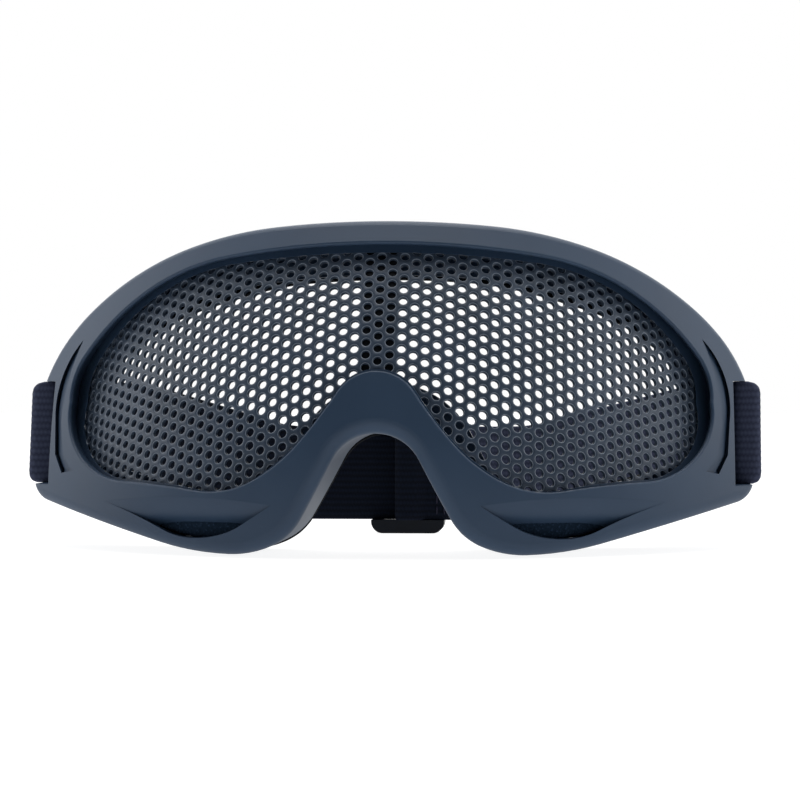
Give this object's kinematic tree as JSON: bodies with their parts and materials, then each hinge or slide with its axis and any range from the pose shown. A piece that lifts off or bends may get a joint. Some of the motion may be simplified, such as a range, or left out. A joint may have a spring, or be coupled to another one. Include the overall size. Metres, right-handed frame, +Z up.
{
  "type": "mesh safety goggles",
  "caption": "Mesh safety goggles: soft moulded frame, domed perforated steel lens, face foam and an elastic headband with a sliding adjuster.",
  "frame": {"origin": "on the table plane, under the middle of the part's width and depth", "axes": "+X across the face, -Y the way the lens looks, +Z up from the cheeks to the brow"},
  "size_m": [0.1834, 0.124, 0.079],
  "materials": {
    "moulding": "satin moulded thermoplastic rubber",
    "lens_sheet": "satin black paint",
    "retainer": "matte",
    "foam": "open-cell foam with a brushed face",
    "webbing": "woven elastic",
    "slider": "moulded acetal"
  },
  "bodies": {
    "goggle": {"frame": "moulding", "mesh_lens": "lens_sheet", "lens_retainer": "retainer", "face_foam": "foam", "left_vent_foam": "foam", "right_vent_foam": "foam", "left_top_foam": "foam", "right_top_foam": "foam", "left_strap_loop": "webbing", "right_strap_loop": "webbing", "left_strap_run": "webbing", "right_strap_run": "webbing", "strap_return_run": "webbing"},
    "rear_band": {"rear_strap": "webbing", "strap_return_end": "webbing"},
    "slider": {"strap_slider": "slider", "slider_end_loop": "webbing"}
  },
  "joints": [
    {"name": "strap_stretch", "type": "slide", "parent": "goggle", "child": "rear_band", "axis": [0, 1, 0], "range_m": [0, 0.045], "stiffness_N_per_m": 120, "deforming": ["left_strap_run", "right_strap_run", "strap_return_run"]},
    {"name": "slider_slide", "type": "slide", "parent": "rear_band", "child": "slider", "axis": [1, 0, 0], "range_m": [-0.017, 0.008], "deforming": ["strap_return_end"]}
  ]
}
